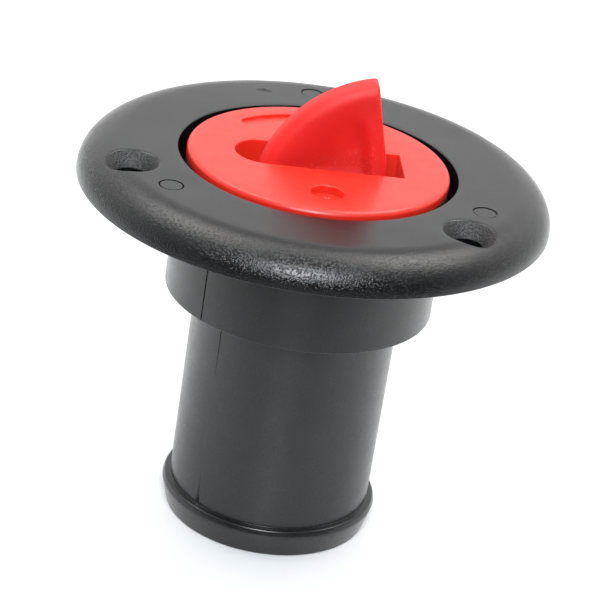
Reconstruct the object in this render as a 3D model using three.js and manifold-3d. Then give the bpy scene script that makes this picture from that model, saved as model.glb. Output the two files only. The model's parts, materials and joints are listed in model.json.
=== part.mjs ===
// Boat deck filler for a 38 mm hose: a one-piece flanged neck, a screw cap and a folding fin handle.
// Millimetres, +Z up the neck's axis. The origin is the centre of the hose tail's end face.
// The cap is drawn along its own slot: s runs along the slot, t across it, and CAP_YAW turns both.
import * as THREE from 'three';
import { mergeVertices } from 'three/addons/utils/BufferGeometryUtils.js';
import Module from 'manifold-3d';

const wasm = await Module();
wasm.setup();

// ---- driving dimensions -------------------------------------------------------------------------

const GAP = 0.3; // clearance between neighbouring pieces
const RING = 72; // facets round a large circle
const SMALL_RING = 24; // facets round a small circle

const NECK = {
  length: 66.5, // hose end to the flange's underside
  tailR: 19.2,
  boreR: 16.3,
  barbR: 20.6,
  barbH: 5.9,
  collarR: 25.1,
  collarH: 20.5,
  threadBoreR: 22.6,
  threadBoreH: 19.8, // depth of the threaded bore below the seal's seat
};

const FLANGE = {
  r: 44,
  thick: 6.5,
  domeWidth: 7.4, // the top's rounded border
  edgeH: 0.25, // square edge below the dome
  recessR: 26.1,
  recessDepth: 4.4,
  lip: 0.35, // chamfer round the recess
  coreInnerR: 27.6,
  coreOuterR: 41.2,
  coreDepth: 3.2,
  ribs: 12,
  ribThick: 1.6,
};

const SCREW_HOLE = {
  circleR: 35.6,
  firstAngle: -37.6,
  count: 3,
  r: 2.65,
  headR: 4.75,
  headDepth: 0.75,
  coneDepth: 1.95,
  bossR: 6.2,
};

const THREAD = {
  lead: 4,
  height: 1.3,
  rootW: 2.1,
  crestW: 1.0,
  bury: 0.5, // how far a ridge runs into its wall
  stepsPerTurn: 30,
  neckTurns: 1.5,
  neckTop: 64,
  capTurns: 1.75,
  capTop: 62, // half a lead below the neck's ridge, so the two interleave
};

const CAP_YAW = THREE.MathUtils.degToRad(7.2);

const CAP = {
  r: 24.35,
  top: 73.6,
  discThick: 2.4,
  edgeRound: 1.0,
  plugR: 21.0,
  plugWall: 2.0,
  plugBottom: 49.5,
  floorThick: 2.0,
  dimpleR: 3.15,
  dimpleDepth: 1.5,
  dimpleCircleR: 15.8,
  dimpleAngle: -88.2,
};

const SLOT = {
  left: -15.6,
  right: 15.4,
  halfW: 5.5,
  wall: 1.6,
  wallBottom: 57,
};

const PIVOT = { s: 8.66, z: 68.4 };

const FIN = {
  half: 3, // half the thickness
  arcR: 25.5,
  arcS: 13.75,
  arcZ: 64.95,
  tipR: 1,
  lean: THREE.MathUtils.degToRad(13.3),
  edgeOffset: 4.82, // straight edge to the pivot
  heelR: 18, // easing of the straight edge towards the hub
  heelStart: 6.2, // where that easing starts, up the edge from the pivot
  hubR: 4.9,
  scoopR: 5.5,
  scoopDepth: 1.0,
  scoopInset: 2.8, // from the straight edge
  scoopUp: 11, // centre above the pivot
};

const KEEL = {
  cavityR: 22.3, // about the pivot, clear of the folded fin
  cavityHalf: 4.4,
  cavityRight: 11.2,
  wall: 1.7,
};

const SEAL = { midR: 23.3, section: 2.0 };
const PIN = { r: 1.5, headR: 2.4, headH: 1.0 };
const CLIP = { r: 2.4, thick: 0.6 };
const WASHER = { r: 4.0 };

const SWIVEL = {
  bossR: 4,
  bossBottom: 40,
  thick: 1.8,
  hubR: 5,
  reach: 9,
  eyeR: 1.5,
  screwR: 1.3,
  shoulderR: 2.1,
  headR: 3.6,
  headH: 1.4,
  screwTop: 44.8,
};

const DECK_Z = NECK.length;
const TOP_Z = DECK_Z + FLANGE.thick;
const SEAT_Z = TOP_Z - FLANGE.recessDepth;
const COLLAR_Z = DECK_Z - NECK.collarH;
const SHOULDER_Z = SEAT_Z - NECK.threadBoreH;
const DISC_Z = CAP.top - CAP.discThick;

// ---- solids -------------------------------------------------------------------------------------

// One index per distinct point, and no triangle that has collapsed to a line.
function weld(geometry) {
  const bare = new THREE.BufferGeometry();
  bare.setAttribute('position', geometry.getAttribute('position'));
  bare.setIndex(geometry.getIndex());
  const merged = mergeVertices(bare, 1e-4);
  const index = merged.getIndex().array;
  const kept = [];
  for (let i = 0; i < index.length; i += 3) {
    const [a, b, c] = [index[i], index[i + 1], index[i + 2]];
    if (a !== b && b !== c && c !== a) kept.push(a, b, c);
  }
  merged.setIndex(kept);
  return merged;
}

function solid(geometry) {
  const welded = weld(geometry);
  const mesh = new wasm.Mesh({
    numProp: 3,
    vertProperties: new Float32Array(welded.getAttribute('position').array),
    triVerts: new Uint32Array(welded.getIndex().array),
  });
  return new wasm.Manifold(mesh);
}

function geometryOf(manifold) {
  const mesh = manifold.getMesh();
  const geometry = new THREE.BufferGeometry();
  geometry.setAttribute('position', new THREE.BufferAttribute(mesh.vertProperties, 3));
  geometry.setIndex(new THREE.BufferAttribute(mesh.triVerts, 1));
  return geometry;
}

// A profile of [radius, z] pairs, turned about Z.
function turned(profile, facets = RING) {
  const points = profile.map(([r, z]) => new THREE.Vector2(r, z));
  return solid(new THREE.LatheGeometry(points, facets).rotateX(Math.PI / 2));
}

function ring(profile, facets = RING) {
  return turned([...profile, profile[0]], facets);
}

function cylinder(r, bottom, top, facets = SMALL_RING) {
  return turned([[0, bottom], [r, bottom], [r, top], [0, top]], facets);
}

function box(low, high) {
  const size = high.map((value, i) => value - low[i]);
  const centre = high.map((value, i) => (value + low[i]) / 2);
  return solid(new THREE.BoxGeometry(...size).translate(...centre));
}

// An outline in the s-z plane, pulled out to both sides of t = 0.
function plate(shape, half, curveSegments = 12) {
  const options = { depth: 2 * half, bevelEnabled: false, curveSegments };
  const geometry = new THREE.ExtrudeGeometry(shape, options).translate(0, 0, -half);
  return solid(geometry.rotateX(Math.PI / 2));
}

// An outline in plan, pulled up from bottom to top.
function prism(shape, bottom, top, curveSegments = 12) {
  const options = { depth: top - bottom, bevelEnabled: false, curveSegments };
  return solid(new THREE.ExtrudeGeometry(shape, options).translate(0, 0, bottom));
}

// A cylinder about the handle's pin.
function aboutPin(r, front, rear, facets = SMALL_RING) {
  const geometry = new THREE.CylinderGeometry(r, r, rear - front, facets);
  return solid(geometry.translate(PIVOT.s, (front + rear) / 2, PIVOT.z));
}

// Points on a circle's arc, from one angle to the other in degrees.
function arc(centreR, centreZ, r, from, to, steps) {
  return Array.from({ length: steps + 1 }, (_, i) => {
    const angle = THREE.MathUtils.degToRad(from + ((to - from) * i) / steps);
    return [centreR + r * Math.cos(angle), centreZ + r * Math.sin(angle)];
  });
}

// A right-hand ridge on a wall of radius wallR, outward when side is 1 and inward when it is -1.
// It starts at its top end and winds down.
function threadRidge(wallR, side, top, turns) {
  const root = wallR - side * THREAD.bury;
  const crest = wallR + side * THREAD.height;
  const section = new THREE.Shape();
  section.moveTo(root, -THREAD.rootW / 2);
  section.lineTo(crest, -THREAD.crestW / 2);
  section.lineTo(crest, THREAD.crestW / 2);
  section.lineTo(root, THREAD.rootW / 2);
  section.closePath();
  const depth = turns * 2 * Math.PI;
  const steps = Math.round(turns * THREAD.stepsPerTurn);
  const geometry = new THREE.ExtrudeGeometry(section, { depth, steps, bevelEnabled: false });
  const place = geometry.getAttribute('position');
  for (let i = 0; i < place.count; i += 1) {
    const r = place.getX(i);
    const angle = -place.getZ(i);
    const z = top + place.getY(i) + (THREAD.lead * angle) / (2 * Math.PI);
    place.setXYZ(i, r * Math.cos(angle), r * Math.sin(angle), z);
  }
  return solid(geometry);
}

// ---- the neck -----------------------------------------------------------------------------------

function neckProfile() {
  const { tailR, boreR, barbR, barbH, collarR, threadBoreR } = NECK;
  const domeStart = FLANGE.r - FLANGE.domeWidth;
  const domeH = FLANGE.thick - FLANGE.edgeH;
  const dome = arc(0, 0, 1, 0, 90, 6).map(([c, s]) => [
    domeStart + FLANGE.domeWidth * c,
    DECK_Z + FLANGE.edgeH + domeH * s,
  ]);
  return [
    [boreR, 0],
    [tailR - 0.3, 0],
    [tailR + 0.1, 0.4],
    [barbR, barbH - 1.6],
    [barbR - 0.3, barbH - 0.4],
    [barbR - 1, barbH],
    [tailR - 0.05, barbH],
    [tailR + 0.1, COLLAR_Z],
    [collarR - 0.2, COLLAR_Z],
    [collarR, COLLAR_Z + 0.2],
    [collarR, DECK_Z],
    [FLANGE.coreInnerR, DECK_Z],
    [FLANGE.coreInnerR, DECK_Z + FLANGE.coreDepth],
    [FLANGE.coreOuterR, DECK_Z + FLANGE.coreDepth],
    [FLANGE.coreOuterR, DECK_Z],
    [FLANGE.r - 0.2, DECK_Z],
    ...dome,
    [FLANGE.recessR + FLANGE.lip, TOP_Z],
    [FLANGE.recessR, TOP_Z - FLANGE.lip],
    [FLANGE.recessR, SEAT_Z],
    [threadBoreR, SEAT_Z],
    [threadBoreR, SHOULDER_Z + 1],
    [threadBoreR - 1, SHOULDER_Z],
    [boreR + 0.5, SHOULDER_Z],
    [boreR, SHOULDER_Z - 0.5],
  ];
}

function roundTheFlange(count, firstAngle, make) {
  return Array.from({ length: count }, (_, i) => {
    const angle = firstAngle + (360 / count) * i;
    return make().rotate([0, 0, angle]);
  });
}

function screwHole() {
  const { r, headR, headDepth, coneDepth } = SCREW_HOLE;
  const coneTop = TOP_Z - headDepth;
  const hole = turned(
    [
      [0, DECK_Z - 1],
      [r, DECK_Z - 1],
      [r, coneTop - coneDepth],
      [headR - 0.1, coneTop],
      [headR, TOP_Z + 1],
      [0, TOP_Z + 1],
    ],
    SMALL_RING,
  );
  return hole.translate([SCREW_HOLE.circleR, 0, 0]);
}

function fillerBody() {
  const ribTop = DECK_Z + FLANGE.coreDepth + 0.5;
  const ribLow = [FLANGE.coreInnerR - 0.5, -FLANGE.ribThick / 2, DECK_Z + 0.4];
  const ribHigh = [FLANGE.coreOuterR + 0.5, FLANGE.ribThick / 2, ribTop];
  const boss = () =>
    cylinder(SCREW_HOLE.bossR, DECK_Z, ribTop).translate([SCREW_HOLE.circleR, 0, 0]);
  const ridge = threadRidge(NECK.threadBoreR, -1, THREAD.neckTop, THREAD.neckTurns);
  const { count, firstAngle } = SCREW_HOLE;
  const added = [
    ...roundTheFlange(FLANGE.ribs, firstAngle + 15, () => box(ribLow, ribHigh)),
    ...roundTheFlange(count, firstAngle, boss),
    ridge,
  ];
  let body = ring(neckProfile());
  for (const piece of added) body = body.add(piece);
  for (const hole of roundTheFlange(count, firstAngle, screwHole)) body = body.subtract(hole);
  return body;
}

// ---- the cap, along its slot --------------------------------------------------------------------

// The slot in plan: round at its left end, square at its right, grown outwards by margin.
function slotShape(margin = 0) {
  const half = SLOT.halfW + margin;
  const shape = new THREE.Shape();
  shape.moveTo(SLOT.right + margin, -half);
  shape.lineTo(SLOT.right + margin, half);
  shape.lineTo(SLOT.left + SLOT.halfW, half);
  shape.absarc(SLOT.left + SLOT.halfW, 0, half, Math.PI / 2, (3 * Math.PI) / 2, false);
  shape.closePath();
  return shape;
}

function capDisc() {
  const round = arc(CAP.r - CAP.edgeRound, CAP.top - CAP.edgeRound, CAP.edgeRound, 0, 90, 3);
  const disc = turned([[0, DISC_Z], [CAP.r, DISC_Z], ...round, [0, CAP.top]]);
  const walls = prism(slotShape(SLOT.wall), SLOT.wallBottom, DISC_Z + 0.5);
  const slot = prism(slotShape(), SLOT.wallBottom - 1, CAP.top + 1);
  const angle = THREE.MathUtils.degToRad(CAP.dimpleAngle);
  const dimple = cylinder(CAP.dimpleR, CAP.top - CAP.dimpleDepth, CAP.top + 1);
  const place = [CAP.dimpleCircleR * Math.cos(angle), CAP.dimpleCircleR * Math.sin(angle), 0];
  const reach = SLOT.halfW + SLOT.wall + 1;
  const pinHole = aboutPin(PIN.r + GAP, -reach, reach);
  return disc.add(walls).subtract(slot).subtract(dimple.translate(place)).subtract(pinHole);
}

function capPlug() {
  const innerR = CAP.plugR - CAP.plugWall;
  const floorTop = CAP.plugBottom + CAP.floorThick;
  const cup = turned([
    [0, CAP.plugBottom],
    [CAP.plugR - 1, CAP.plugBottom],
    [CAP.plugR, CAP.plugBottom + 1],
    [CAP.plugR, DISC_Z - GAP],
    [innerR, DISC_Z - GAP],
    [innerR, floorTop],
    [0, floorTop],
  ]);
  const keelR = KEEL.cavityR + KEEL.wall;
  const keelHalf = KEEL.cavityHalf + KEEL.wall;
  const keelRight = KEEL.cavityRight + KEEL.wall;
  const floorMid = CAP.plugBottom + CAP.floorThick / 2;
  const keel = aboutPin(keelR, -keelHalf, keelHalf, 2 * RING).intersect(
    box([-keelR, -keelHalf - 1, PIVOT.z - keelR - 1], [keelRight, keelHalf + 1, floorMid]),
  );
  const cavity = aboutPin(KEEL.cavityR, -KEEL.cavityHalf, KEEL.cavityHalf, 2 * RING).intersect(
    box([-keelR, -keelHalf, PIVOT.z - keelR], [KEEL.cavityRight, keelHalf, floorTop + 1]),
  );
  const boss = cylinder(SWIVEL.bossR, SWIVEL.bossBottom, CAP.plugBottom + 0.5);
  const screwHole = cylinder(SWIVEL.screwR + GAP, SWIVEL.bossBottom - 1, SWIVEL.screwTop + GAP);
  const ridge = threadRidge(CAP.plugR, 1, THREAD.capTop, THREAD.capTurns);
  const turn = -THREE.MathUtils.radToDeg(CAP_YAW);
  const shell = cup.add(keel).add(boss).add(ridge.rotate([0, 0, turn]));
  return shell.subtract(cavity).subtract(screwHole);
}

function capSeal() {
  const midZ = (SEAT_Z + DISC_Z) / 2;
  const section = arc(SEAL.midR, midZ, SEAL.section / 2, 0, 360, 10).slice(0, -1);
  return ring(section);
}

// ---- the handle ---------------------------------------------------------------------------------

// A point of the fin: along is up its straight edge from the pivot, out is towards that edge.
function onFin(along, out) {
  const s = PIVOT.s + out * Math.cos(FIN.lean) - along * Math.sin(FIN.lean);
  const z = PIVOT.z + out * Math.sin(FIN.lean) + along * Math.cos(FIN.lean);
  return [s, z];
}

// Where a line parallel to the straight edge, inset from it, meets an arc inset from the fin's arc.
function tipCentre() {
  const [s, z] = onFin(0, FIN.edgeOffset - FIN.tipR);
  const up = [-Math.sin(FIN.lean), Math.cos(FIN.lean)];
  const from = [s - FIN.arcS, z - FIN.arcZ];
  const b = from[0] * up[0] + from[1] * up[1];
  const c = from[0] ** 2 + from[1] ** 2 - (FIN.arcR - FIN.tipR) ** 2;
  const along = -b + Math.sqrt(b * b - c);
  return [s + along * up[0], z + along * up[1]];
}

function finShape() {
  const shape = new THREE.Shape();
  const [tipS, tipZ] = tipCentre();
  const tipAngle = Math.atan2(tipZ - FIN.arcZ, tipS - FIN.arcS);
  const bottom = PIVOT.z - FIN.hubR;
  const endAngle = Math.PI + Math.asin((FIN.arcZ - bottom) / FIN.arcR);
  const [heelS, heelZ] = onFin(FIN.heelStart, FIN.edgeOffset - FIN.heelR);
  const heelEnd = FIN.lean - 0.52;
  shape.moveTo(PIVOT.s, bottom);
  shape.absarc(PIVOT.s - 0.4, PIVOT.z - 1.6, 3.3, -Math.PI / 2, heelEnd, false);
  shape.absarc(heelS, heelZ, FIN.heelR, heelEnd, FIN.lean, false);
  shape.absarc(tipS, tipZ, FIN.tipR, FIN.lean, tipAngle, false);
  shape.absarc(FIN.arcS, FIN.arcZ, FIN.arcR, tipAngle, endAngle, false);
  shape.closePath();
  return shape;
}

// A shallow round scoop for the thumb, sunk into the face at +t.
function thumbScoop() {
  const { scoopR, scoopDepth, half } = FIN;
  const bowl = arc(0, 0, 1, -90, 0, 5).map(([c, s]) => [scoopR * c, half + scoopDepth * s]);
  const [s, z] = onFin(FIN.scoopUp, FIN.edgeOffset - FIN.scoopInset - scoopR);
  return turned([...bowl, [scoopR, half + 1], [0, half + 1]], 32)
    .rotate([-90, 0, 0])
    .translate([s, 0, z]);
}

function handle() {
  const fin = plate(finShape(), FIN.half, 16);
  const scoop = thumbScoop();
  const bore = aboutPin(PIN.r + GAP, -FIN.half - 1, FIN.half + 1);
  return fin.subtract(scoop).subtract(scoop.mirror([0, 1, 0])).subtract(bore);
}

function washer(side) {
  const near = FIN.half + GAP;
  const far = SLOT.halfW - GAP;
  const [front, rear] = side < 0 ? [-far, -near] : [near, far];
  return aboutPin(WASHER.r, front, rear).subtract(aboutPin(PIN.r + GAP, front - 1, rear + 1));
}

function handlePin() {
  const face = SLOT.halfW + SLOT.wall + GAP;
  const shank = aboutPin(PIN.r, -face - 0.5, face + CLIP.thick + 0.9);
  return shank.add(aboutPin(PIN.headR, -face - PIN.headH, -face));
}

function pinClip() {
  const face = SLOT.halfW + SLOT.wall + GAP;
  const plateRing = aboutPin(CLIP.r, face, face + CLIP.thick);
  return plateRing.subtract(aboutPin(PIN.r + GAP, face - 1, face + CLIP.thick + 1));
}

// ---- the lanyard swivel under the cap -----------------------------------------------------------

function lanyardSwivel() {
  const { hubR, reach, eyeR, bossBottom, thick, shoulderR } = SWIVEL;
  const top = bossBottom - GAP;
  const tabHalf = eyeR + 1.5;
  const tab = box([0, -tabHalf, top - thick], [reach, tabHalf, top]);
  const end = cylinder(tabHalf, top - thick, top).translate([reach, 0, 0]);
  const eye = cylinder(eyeR, top - thick - 1, top + 1).translate([reach, 0, 0]);
  const hub = cylinder(hubR, top - thick, top);
  const hole = cylinder(shoulderR + GAP, top - thick - 1, top + 1);
  return hub.add(tab).add(end).subtract(eye).subtract(hole);
}

function lanyardScrew() {
  const { bossBottom, thick, screwR, shoulderR, headR, headH, screwTop } = SWIVEL;
  const shoulderTop = bossBottom - GAP;
  const headTop = shoulderTop - thick - GAP;
  return turned(
    [
      [0, headTop - headH],
      [headR - 0.8, headTop - headH],
      [headR, headTop - 0.4],
      [headR, headTop],
      [shoulderR, headTop],
      [shoulderR, shoulderTop],
      [screwR, shoulderTop],
      [screwR, screwTop - 1],
      [0, screwTop],
    ],
    SMALL_RING,
  );
}

// ---- the assembly -------------------------------------------------------------------------------

const MATERIALS = {
  black_plastic: { color: 0x2a2b2d, roughness: 0.5, metalness: 0 },
  red_plastic: { color: 0xe02421, roughness: 0.38, metalness: 0 },
  seal_rubber: { color: 0x141414, roughness: 0.8, metalness: 0 },
  washer_nylon: { color: 0xe8e4da, roughness: 0.45, metalness: 0 },
  stainless: { color: 0xb9bcc0, roughness: 0.35, metalness: 1 },
};

function node(name, manifold, material) {
  const mesh = new THREE.Mesh(
    geometryOf(manifold),
    new THREE.MeshStandardMaterial(MATERIALS[material]),
  );
  mesh.name = name;
  return mesh;
}

const cap = new THREE.Group();
cap.rotation.z = CAP_YAW;
cap.add(node('cap_disc', capDisc(), 'red_plastic'));
cap.add(node('cap_plug', capPlug(), 'red_plastic'));
cap.add(node('cap_seal', capSeal(), 'seal_rubber'));
cap.add(node('handle', handle(), 'red_plastic'));
cap.add(node('handle_pin', handlePin(), 'stainless'));
cap.add(node('pin_clip', pinClip(), 'stainless'));
cap.add(node('handle_washer_front', washer(-1), 'washer_nylon'));
cap.add(node('handle_washer_rear', washer(1), 'washer_nylon'));
cap.add(node('lanyard_swivel', lanyardSwivel(), 'black_plastic'));
cap.add(node('lanyard_screw', lanyardScrew(), 'stainless'));

const deckFiller = new THREE.Group();
deckFiller.add(node('filler_body', fillerBody(), 'black_plastic'));
deckFiller.add(cap);

export default deckFiller;
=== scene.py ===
"""A boat's deck filler: flanged neck with a hose tail, red screw cap and a fin handle that folds into it.

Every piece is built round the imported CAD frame. Sizes in this file are millimetres and become metres in
build(). The cap and the handle are drawn along the cap's slot, s along it and t across it, and turned
into the part's frame by CAP_TURN.
"""

import json
import math

import bmesh
import bpy
from mathutils import Matrix, Vector, geometry


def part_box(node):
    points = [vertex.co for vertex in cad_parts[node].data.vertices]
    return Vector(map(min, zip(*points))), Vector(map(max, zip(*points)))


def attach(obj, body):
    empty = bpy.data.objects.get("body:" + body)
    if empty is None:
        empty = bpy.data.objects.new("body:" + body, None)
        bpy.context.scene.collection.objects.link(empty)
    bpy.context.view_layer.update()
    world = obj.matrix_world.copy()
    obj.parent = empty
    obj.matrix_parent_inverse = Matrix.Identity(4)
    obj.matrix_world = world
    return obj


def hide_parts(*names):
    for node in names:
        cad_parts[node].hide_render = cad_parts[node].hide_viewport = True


MM = 0.001
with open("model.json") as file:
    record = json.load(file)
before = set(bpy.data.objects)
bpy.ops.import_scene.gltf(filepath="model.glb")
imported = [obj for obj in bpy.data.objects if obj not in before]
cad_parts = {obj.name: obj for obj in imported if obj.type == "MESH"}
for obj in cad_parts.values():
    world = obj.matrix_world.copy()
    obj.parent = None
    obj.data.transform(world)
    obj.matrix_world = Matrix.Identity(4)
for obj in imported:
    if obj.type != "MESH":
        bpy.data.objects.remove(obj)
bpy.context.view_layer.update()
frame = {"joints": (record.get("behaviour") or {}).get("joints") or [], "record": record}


def box_mm(node):
    """The lowest and highest corner of a CAD node's box, in millimetres."""
    low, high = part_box(node)
    return low / MM, high / MM


# ---- places taken from the frame ----

MOUNTS = {mount["name"]: mount for mount in frame["record"]["mounts"]}
JOINTS = {joint["name"]: joint for joint in frame["joints"]}
BODY_HIGH = box_mm("filler_body")[1]
FLANGE_R = BODY_HIGH.x
FLANGE_TOP = BODY_HIGH.z
DECK_Z = MOUNTS["deck_face"]["pos_m"][2] / MM
CAP_TOP = box_mm("cap_disc")[1].z

FOLD_AXIS = Vector(JOINTS["handle_fold"]["axis"])
CAP_YAW = math.atan2(FOLD_AXIS.x, -FOLD_AXIS.y)
CAP_TURN = Matrix.Rotation(CAP_YAW, 4, "Z")
PIVOT = CAP_TURN.inverted() @ (Vector(JOINTS["handle_fold"]["pos_m"]) / MM)

# ---- sizes ----

RING = 240  # facets round a large circle
SMALL_RING = 64
ARC_STEP = math.radians(12)  # the coarsest step round an eased corner
GAP = 0.3  # between two pieces that touch on the real object
SLACK = 0.02  # round a surface, when its faces are picked out by their place

# The neck, from the hose end up.
TAIL = {"bore": 16.3, "low_r": 19.16, "high_r": 19.31}
BARB = {"r": 20.6, "end_r": 19.3, "top": 5.9}
COLLAR = {"r": 25.12, "low": DECK_Z - 20.5}
DOME = {"width": 7.4, "edge": 0.25}
RECESS = {"r": 25.95, "lip": 0.15, "depth": 4.4}
THREAD_BORE = {"r": 22.6, "depth": 19.8}
CORE = {"inner": 27.6, "outer": 41.2, "depth": 3.2, "ribs": 12, "rib": 1.6}
SCREW = {"circle": 35.6, "first": -37.6, "r": 2.65, "head": 4.7, "sink": 2.65, "flare": 0.8, "boss": 6.2}
SEAM = {
    "angle": -131.5,
    "width": 0.24,
    "depth": 0.45,
    "fade": 17.0,  # how far it runs down the tail
    "nick": 7.0,
    "nick_width": 0.75,
    "nick_depth": 0.6,
}

# Marks that the mould left on the flange.
EJECTOR = {
    "circle": 33.2,
    "angles": (-138.9, -21.3, 95.6),
    "depths": (0.05, 0.1, 0.1),
    "r": 2.3,
    "groove": 0.3,
    "groove_depth": 0.12,
    "draft": 0.03,
}
GATE_SPOT = {"circle": 32.6, "angle": 112.7, "r": 1.6, "depth": 0.25}

# The threads: the lead is the rise of one turn.
THREAD = {"lead": 4.0, "height": 1.3, "root": 2.1, "crest": 1.0, "bury": 0.5, "ease": 0.15}
NECK_THREAD = {"top": 64.0, "turns": 1.5}
CAP_THREAD = {"top": 62.0, "turns": 1.75}

# The cap: its disc, the threaded plug under it and the keel that holds the folded fin.
CAP = {"r": 24.35, "thick": 2.4, "round": 1.0}
PLUG = {"r": 21.0, "wall": 2.0, "low": 49.5, "floor": 2.0}
SLOT = {"left": -15.6, "right": 15.4, "half": 5.5, "wall": 1.6, "low": 57.0, "ease": 0.25}
DIMPLE = {"circle": 15.8, "angle": -88.2, "r": 3.05, "depth": 1.5, "ease": 0.2}
NUB = {"r": 0.75, "base": 0.45, "top": 0.85, "taper": 0.25}
LABEL = {"inner": 16.4, "outer": 20.1, "from": 76.0, "to": 131.0, "depth": 0.6, "ease": 0.15}
KEEL = {"cavity_r": 22.3, "half": 4.4, "right": 11.2, "wall": 1.7}
SEAL = {"mid": 23.3, "section": 2.0}

# The fin: a round arc on the left, a straight edge that leans on the right and a heel below it.
FIN = {
    "half": 3.0,  # half its thickness
    "arc_r": 25.5,
    "arc_s": 13.75,
    "arc_z": DECK_Z - 1.55,
    "tip_r": 1.0,
    "lean": math.radians(13.3),
    "edge": 4.82,  # the straight edge's distance from the pivot
    "heel_r": 18.0,
    "heel_start": 6.2,
    "heel_sweep": 0.52,
    "hub": (-0.4, -1.6, 3.3),  # centre from the pivot, and radius
    "drop": 4.9,  # how far the underside is below the pivot
    "corner_r": 1.2,
    "ease": 0.8,
    "round_low": 2.3,  # width of the rounding along the arc, at the slot and at the tip
    "round_high": 2.6,
    "round_depth": 2.3,
}
# The thumb dish on each side of the fin.
DISH = {
    "edge_rim": 2.2,  # the flat rim beside the straight edge
    "wall": 2.4,
    "wall_growth": 0.04,
    "arc_rim": 0.1,
    "fade": 9.0,  # how far in from the arc it reaches its depth
    "depth": 1.4,
    "deepening": 0.5,
    "deepened": 14.0,  # the width that is deeper
    "base": 0.5,  # the dish starts this far above the deck
    "rise": 6.0,
}
PIN = {"r": 1.5, "head": 2.4, "head_h": 1.0, "clip": 2.4, "clip_h": 0.6, "past_clip": 0.9}
WASHER_R = 4.0

# The eye under the cap that a lanyard is tied to, the boss it turns on and its screw.
SWIVEL = {
    "boss": 4.0,
    "boss_low": 40.0,
    "shoulder": 2.1,
    "thick": 1.8,
    "hub": 5.0,
    "reach": 9.0,
    "eye": 1.5,
    "eye_wall": 1.5,
}
SWIVEL_SCREW = {"r": 1.3, "head": 3.6, "head_h": 1.4, "top": 44.8, "blade_half": (1.9, 0.35), "blade_h": 0.8}

# The flange's pits: the size of one, their depth, their reach in sizes and where on the flange they are.
PITS = {"size": 0.34, "depth": 0.042, "peak": 0.08, "foot": 0.55, "from": 36.5, "full": 41.5}

# The studio's floor is white under the part and turns grey in front of it, as painted shade.
FLOOR = {
    "size": 6000.0,
    "white": (0.86, 0.86, 0.86),
    "shade_grey": (0.16, 0.16, 0.16),
    "white_y": -40.0,
    "shade_grey_y": -140.0,
    "below": 0.05,
    "roughness": 0.38,
}

# The photographing camera, placed from the neck's base.
CAMERA = {"at": (0.0, -473.7, 268.3), "aim": (0.58, 0.0, 44.4), "roll": 9.0, "lens": 167.5, "sensor": 36.0}

# The light tent's brightness in front, behind and overhead, and where one turns into the next.
TENT = {
    "rearward": (-0.12, 1.0, 0.0),
    "front": 0.03,
    "front_end": -0.75,
    "rear": 1.36,
    "rear_start": 0.35,
    "overhead": 0.95,
    "overhead_start": 0.55,
    "overhead_full": 0.9,
}

# The softboxes: azimuth 0 is on the camera's side and 90 to the right.
COOL, WARM = (0.86, 0.93, 1.0), (1.0, 0.98, 0.95)
SOFTBOXES = {
    "key": {"azimuth": 0, "elevation": 40, "size": (310, 490), "radiance": 20.0, "colour": COOL},
    "left": {"azimuth": -118, "elevation": 62, "size": (600, 480), "radiance": 4.0, "colour": WARM},
    "right": {"azimuth": 121, "elevation": 62, "size": (600, 480), "radiance": 4.8, "colour": WARM},
}
SOFTBOX_DISTANCE = 900.0

# ---- outlines ----


def arc(cx, cy, r, start, end, steps):
    """Points on a circle's arc, angles in radians."""
    turns = [start + (end - start) * i / steps for i in range(steps + 1)]
    return [(cx + r * math.cos(a), cy + r * math.sin(a)) for a in turns]


def eased(corners):
    """A closed outline of (x, y, radius) corners, each rounded to its radius."""
    points = []
    for i, (x, y, radius) in enumerate(corners):
        here = Vector((x, y))
        if radius <= 0:
            points.append((x, y))
            continue
        before = (Vector(corners[i - 1][:2]) - here).normalized()
        after = (Vector(corners[(i + 1) % len(corners)][:2]) - here).normalized()
        half = before.angle(after) / 2
        centre = here + (before + after).normalized() * radius / math.sin(half)
        start = here + before * radius / math.tan(half) - centre
        end = here + after * radius / math.tan(half) - centre
        sweep = start.angle_signed(end) * -1
        steps = max(2, math.ceil(abs(sweep) / ARC_STEP))
        first = math.atan2(start.y, start.x)
        points += arc(centre.x, centre.y, radius, first, first + sweep, steps)
    return points


def circle(r, cx=0.0, cy=0.0, facets=SMALL_RING):
    """An outline function for stack(): the circle grown by a margin."""

    def grown(margin):
        return arc(cx, cy, r + margin, 0, 2 * math.pi * (facets - 1) / facets, facets - 1)

    return grown


# ---- solids ----


def build(name, points, faces):
    """An object from millimetre points and faces, with its faces pointing out."""
    mesh = bpy.data.meshes.new(name)
    mesh.from_pydata([tuple(Vector(p) * MM) for p in points], [], faces)
    tidy = bmesh.new()
    tidy.from_mesh(mesh)
    bmesh.ops.recalc_face_normals(tidy, faces=tidy.faces)
    tidy.to_mesh(mesh)
    tidy.free()
    piece = bpy.data.objects.new(name, mesh)
    bpy.context.scene.collection.objects.link(piece)
    return piece


def quads(ring, other):
    """Faces between two closed rings of as many vertices."""
    count = len(ring)
    return [[ring[k], ring[(k + 1) % count], other[(k + 1) % count], other[k]] for k in range(count)]


def lathe(name, outline, facets=RING):
    """A closed (radius, z) outline turned about Z. Points at radius 0 lie on the axis."""
    points, rows = [], []
    for r, z in outline:
        if r < 1e-6:
            rows.append([len(points)] * facets)
            points.append((0.0, 0.0, z))
            continue
        rows.append(list(range(len(points), len(points) + facets)))
        turns = [2 * math.pi * k / facets for k in range(facets)]
        points += [(r * math.cos(a), r * math.sin(a), z) for a in turns]
    faces = []
    for i, low in enumerate(rows):
        for quad in quads(low, rows[(i + 1) % len(rows)]):
            corners = list(dict.fromkeys(quad))
            if len(corners) > 2:
                faces.append(corners)
    return build(name, points, faces)


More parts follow.
